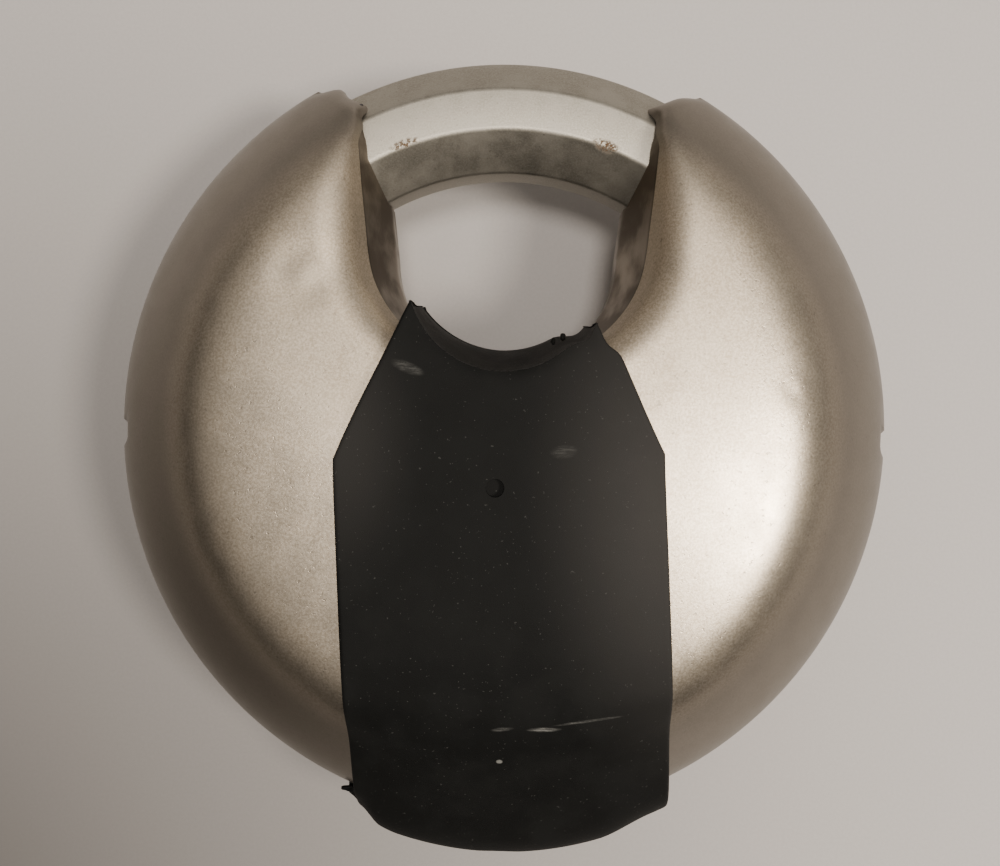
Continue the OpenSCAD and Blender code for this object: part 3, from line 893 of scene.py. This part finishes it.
def shackle_steel():
    """Dull plating with pinpricks and two patches of rust at the inner edge."""
    n = Nodes("plated_shackle")
    cloud = n.noise(0.3, 4, 0.6)
    grain = n.noise(6, 4, 0.75)
    rust_field = n.noise(3.2, 5, 0.75)
    rust = n.ramp(rust_field, 0.68, 0.75)
    right_patch = n.spot(8.6, 25.0, 1.4, 0.6, -0.35)
    left_patch = n.spot(-9.2, 24.9, 1.5, 0.45, 0.35)
    right = n.math("MULTIPLY", right_patch, n.ramp(rust_field, 0.44, 0.54))
    left = n.math("MULTIPLY", left_patch, n.ramp(rust_field, 0.46, 0.56))
    all_rust = n.math("MAXIMUM", rust, n.math("MAXIMUM", right, left))
    dots = n.ramp(n.noise(3.4, 2, 0.5), 0.69, 0.74)
    base_tone = n.mix(n.ramp(cloud, 0.35, 0.7), (0.30, 0.28, 0.235), (0.40, 0.375, 0.325))
    grainy = n.mix(n.ramp(grain, 0.35, 0.8), base_tone, (0.46, 0.435, 0.38))
    dotted = n.mix(n.math("MULTIPLY", dots, 0.6), grainy, (0.22, 0.20, 0.17))
    n.set(Base_Color=n.mix(all_rust, dotted, (0.12, 0.068, 0.032)))
    n.set(Metallic=n.math("SUBTRACT", 1.0, n.math("MULTIPLY", all_rust, 0.85)))
    rough = n.ramp(cloud, 0.3, 0.7, 0.46, 0.54)
    n.set(Roughness=n.math("ADD", rough, n.math("MULTIPLY", all_rust, 0.35)))
    n.bump(n.math("ADD", grain, all_rust), 0.22, 0.05)
    return n.mat


# Scuffs on the cover: place, half length and half width, angle, strength
SCUFFS = [
    (-7.9, 4.7, 1.5, 0.5, -0.35, 0.35), (4.8, -1.9, 1.2, 0.6, 0.1, 0.2),
    (3.6, -24.6, 1.5, 0.22, 0.03, 0.9), (7.2, -23.8, 3.2, 0.14, 0.16, 0.5),
    (0.2, -24.6, 1.0, 0.2, 0.1, 0.5), (0.0, -27.6, 0.3, 0.22, 0.0, 1.6),
]


def cover_rubber():
    """Black rubber with a painted sheen at its right side and a lighter patch at its left, with dust and
    scuffs.
    """
    n = Nodes("worn_rubber")
    cloud = n.noise(0.22, 4, 0.6)
    grain = n.noise(11, 4, 0.7)
    base = n.mix(n.ramp(cloud, 0.35, 0.7), (0.0055, 0.0057, 0.0055), (0.0085, 0.0088, 0.0085))
    # Painted sheen: a lighter grey over the right side of the cover, and up to half as much in a patch
    # at the left.
    right = n.ramp(n.reach(13.5, -7, 12, 24, 0.1), 0, 1.1, 1.0, 0.0)
    left = n.ramp(n.reach(-13, -1, 6, 12), 0, 1.2, 0.5, 0.0)
    base = n.mix(n.math("MAXIMUM", right, left), base, (0.040, 0.038, 0.036))
    speck = n.ramp(n.noise(4.2, 2, 0.5), 0.70, 0.74)
    dusty = n.mix(n.math("MULTIPLY", speck, 0.35), base, (0.09, 0.09, 0.085))
    scratch_noise = n.ramp(n.noise(1.6, 5, 0.8, n.stretch(0.5, 3.0, 1)), 0.45, 0.62)
    marks = None
    for *ellipse, strength in SCUFFS:
        one = n.math("MULTIPLY", n.spot(*ellipse), strength)
        marks = one if marks is None else n.math("MAXIMUM", marks, one)
    marks = n.math("MULTIPLY", marks, n.math("ADD", 0.25, n.math("MULTIPLY", scratch_noise, 0.75)))
    n.set(Base_Color=n.mix(n.math("MINIMUM", marks, 1.0), dusty, (0.16, 0.16, 0.15)))
    n.set(Roughness=n.ramp(cloud, 0.3, 0.75, 0.55, 0.65))
    n.set(Specular_IOR_Level=0.07)
    n.bump(n.math("ADD", grain, n.math("MULTIPLY", cloud, 2.0)), 0.30, 0.06)
    return n.mat


def liner_steel():
    """Streaked strip metal, with a black band of painted shade where it meets the lips."""
    n = metal("liner_strip", (0.34, 0.30, 0.25), (0.15, 0.125, 0.10), 0.42, 5, 0.1, (0.4, 0.4, 3))
    axes = n.tree.nodes.new("ShaderNodeSeparateXYZ")
    n.link(n.mm, axes.inputs[0])
    away = n.math("ABSOLUTE", n.math("SUBTRACT", axes.outputs["Z"], MID_Z), 0)
    base_tone = n.shader.inputs["Base Color"].links[0].from_socket
    # Painted shade: the top of the strip, next to the lips, is coloured near black, for the shadow of
    # the gap under each lip.
    n.set(Base_Color=n.mix(n.ramp(away, LIP_Z - 0.9, LIP_Z - 0.1), base_tone, (0.02, 0.017, 0.014)))
    return n.mat


# Metals of the CAD's own pieces: name, colour, darker tone, roughness, grain and bump
METALS = {
    "core_zinc": ("zinc_casting", (0.42, 0.43, 0.45), (0.28, 0.29, 0.31), 0.52, 4, 0.4),
    "hard_plate": ("hardened_steel", (0.22, 0.22, 0.23), (0.12, 0.12, 0.13), 0.36, 8, 0.1),
    "pin_steel": ("ground_steel", (0.60, 0.60, 0.60), (0.45, 0.45, 0.46), 0.26, 10, 0.05),
    "bush_bronze": ("bronze", (0.55, 0.35, 0.19), (0.38, 0.22, 0.11), 0.36, 6, 0.1),
    "housing_brass": ("turned_brass", (0.70, 0.52, 0.24), (0.52, 0.37, 0.16), 0.34, 8, 0.1),
    "plug_brass": ("plug_brass", (0.76, 0.59, 0.30), (0.58, 0.43, 0.20), 0.27, 9, 0.08),
    "pin_brass": ("pin_brass", (0.80, 0.64, 0.36), (0.66, 0.50, 0.26), 0.22, 9, 0.05),
    "collar_steel": ("collar_steel", (0.56, 0.55, 0.53), (0.40, 0.39, 0.37), 0.34, 9, 0.08),
    "spring_steel": ("spring_wire", (0.55, 0.55, 0.56), (0.40, 0.40, 0.41), 0.25, 9, 0.05),
}


def make_materials():
    """Every material, by the name of its slot."""
    made = {build.__name__: build() for build in (shell_steel, shackle_steel, cover_rubber, liner_steel)}
    for slot, look in METALS.items():
        made[slot] = metal(*look).mat
    return made


def paint(obj, material):
    """Gives an object one material."""
    obj.data.materials.clear()
    obj.data.materials.append(material)


# ---- Small worn pieces of rubber -------------------------------------------

# Name, centre, half sizes and seed: crumbs at the worn corner of the saddle, and the tongues
# that stick out where the nose meets the rim
SCRAPS = [
    ("tear_right", (4.7, 7.55, 11.0), (0.26, 0.35, 0.5), 3),
    ("tear_right_2", (3.9, 7.2, 11.0), (0.2, 0.32, 0.4), 4),
    ("rim_tongue_left", (-13.8, -33.4, 0.7), (0.75, 0.3, 0.35), 8),
    ("rim_tongue_right", (15.0, -33.4, 0.7), (0.8, 0.3, 0.35), 6),
]


def rubber_scrap(name, centre, size, seed):
    """A torn crumb of rubber: a lumpy closed form with sharp points."""
    bm = bmesh.new()
    bmesh.ops.create_icosphere(bm, subdivisions=3, radius=1.0)
    for v in bm.verts:
        p = v.co * 1.7 + Vector((seed * 3.1, seed * 1.7, seed))
        v.co *= 0.9 + 0.3 * noise.noise(p) + 0.12 * noise.noise(p * 3)
        v.co = Vector([part * half for part, half in zip(v.co, size)]) + Vector(centre)
    pts = [tuple(v.co) for v in bm.verts]
    faces = [tuple(v.index for v in f.verts) for f in bm.faces]
    bm.free()
    obj = make_object(name, pts, faces)
    return obj


# ---- Camera, light, floor --------------------------------------------------

# The camera looks straight down; places in millimetres
EYE_X, EYE_Y, EYE_ABOVE, EYE_ROLL = -0.37, -0.46, 100, math.radians(0.9)
SENSOR, LENS = 36, 38.77

# The room's light grows with how far a direction leans towards ROOM_LEAN: the least and the most
# lean, and the strength at each
ROOM_LEAN = (0.32, 0.30, 0.90)
ROOM_FALL = (-0.45, 1.0, 0.04, 0.5)
ROOM_COLOUR = (1.0, 0.93, 0.85, 1)

# Lamps: place and size in metres, power in watts, colour
LAMPS = {
    "ceiling": ((0.03, 0.02, 0.88), 0.18, 4.2, (1.0, 0.92, 0.84)),
    "right": ((0.217, -0.058, 0.39), 0.10, 1.5, (1.0, 0.91, 0.80)),
}
LAMP_AIM = (0, 0, 0.0135)

# The paper: half its side in metres, two tones, and the shade of its darkest corner
FLOOR_HALF = 1.2
PAPER_LOW, PAPER_HIGH, PAPER_SHADE = (0.545, 0.52, 0.505), (0.58, 0.555, 0.54), (0.07, 0.064, 0.058)
SHADE_X, SHADE_Y, SHADE_NEAR, SHADE_FAR = -88, -72, 5, 160


def make_camera():
    """Straight above the face and close to it."""
    data = bpy.data.cameras.new("camera")
    cam = bpy.data.objects.new("camera", data)
    bpy.context.scene.collection.objects.link(cam)
    cam.location = Vector((EYE_X, EYE_Y, MID_Z + EYE_ABOVE)) * MM
    cam.rotation_euler = (0, 0, EYE_ROLL)
    data.sensor_width, data.lens = SENSOR, LENS
    data.clip_start, data.clip_end = 0.005, 20
    bpy.context.scene.camera = cam


def area_light(name, place, size, power, colour):
    """A round lamp that faces the middle of the lock."""
    data = bpy.data.lights.new(name, "AREA")
    data.shape, data.size, data.energy, data.color = "DISK", size, power, colour
    obj = bpy.data.objects.new(name, data)
    obj.location = place
    aim = Vector(LAMP_AIM) - Vector(place)
    obj.rotation_euler = aim.to_track_quat("-Z", "Y").to_euler()
    bpy.context.scene.collection.objects.link(obj)


def make_lights():
    """A lamp overhead, a lamp at the right, and a room that is brightest above and to the right."""
    for name, look in LAMPS.items():
        area_light(name, *look)
    world = bpy.data.worlds.new("room")
    world.use_nodes = True
    tree = world.node_tree
    coords = tree.nodes.new("ShaderNodeTexCoord")
    lean = tree.nodes.new("ShaderNodeVectorMath")
    lean.operation = "DOT_PRODUCT"
    lean.inputs[1].default_value = ROOM_LEAN
    fall = tree.nodes.new("ShaderNodeMapRange")
    fall.interpolation_type = "SMOOTHSTEP"
    for key, value in zip(("From Min", "From Max", "To Min", "To Max"), ROOM_FALL):
        fall.inputs[key].default_value = value
    back = tree.nodes["Background"]
    back.inputs["Color"].default_value = ROOM_COLOUR
    tree.links.new(coords.outputs["Generated"], lean.inputs[0])
    tree.links.new(lean.outputs["Value"], fall.inputs["Value"])
    tree.links.new(fall.outputs["Result"], back.inputs["Strength"])
    bpy.context.scene.world = world


def make_floor():
    """Plain paper under the lock, in shade at the lower left."""
    mesh = bpy.data.meshes.new("floor")
    corners = [(x * FLOOR_HALF, y * FLOOR_HALF, 0) for x, y in ((-1, -1), (1, -1), (1, 1), (-1, 1))]
    mesh.from_pydata(corners, [], [(0, 1, 2, 3)])
    obj = bpy.data.objects.new("floor", mesh)
    bpy.context.scene.collection.objects.link(obj)
    n = Nodes("paper")
    fibre = n.noise(3.0, 5, 0.7)
    paper = n.mix(n.ramp(fibre, 0.3, 0.7), PAPER_LOW, PAPER_HIGH)
    lit = n.ramp(n.reach(SHADE_X, SHADE_Y), SHADE_NEAR, SHADE_FAR)
    n.set(Base_Color=n.mix(lit, PAPER_SHADE, paper), Roughness=0.9)
    n.bump(fibre, 0.05, 0.05)
    paint(obj, n.mat)


# ---- Assembly --------------------------------------------------------------

# The CAD's own pieces whose sharp edges are rounded, and the width of the rounding
BEVELS = {
    "keyway_collar": 0.2, "plug": 0.08, "left_guide": 0.2, "right_guide": 0.2,
    "core_rivets": 0.2, "pivot_pin": 0.15, "driver_cam": 0.15, "cylinder_housing": 0.12,
}


def round_edges(obj, width):
    """A bevel on the sharp edges, with the mesh's split points welded first."""
    weld = obj.modifiers.new("weld", "WELD")
    weld.merge_threshold = 0.001 * MM
    edge = obj.modifiers.new("edge", "BEVEL")
    edge.width, edge.segments, edge.limit_method = width * MM, 3, "ANGLE"
    edge.angle_limit = math.radians(28)
    edge.harden_normals = True


make_camera()
make_lights()
make_floor()

made = make_materials()
slot_of = {s["node"]: s["material_slot"] for s in frame["record"]["subparts"]}

for side, mirror in (("front", False), ("rear", True)):
    paint(make_shell(f"{side}_shell_skin", mirror), made["shell_steel"])
    paint(make_cover(f"{side}_cover_skin", mirror), made["cover_rubber"])

paint(make_liner(), made["liner_steel"])
paint(make_shackle(), made["shackle_steel"])

for node, obj in frame["nodes"].items():
    paint(obj, made[slot_of[node]])
    if node in BEVELS:
        round_edges(obj, BEVELS[node])

for name, centre, size, seed in SCRAPS:
    paint(rubber_scrap(name, centre, size, seed), made["cover_rubber"])
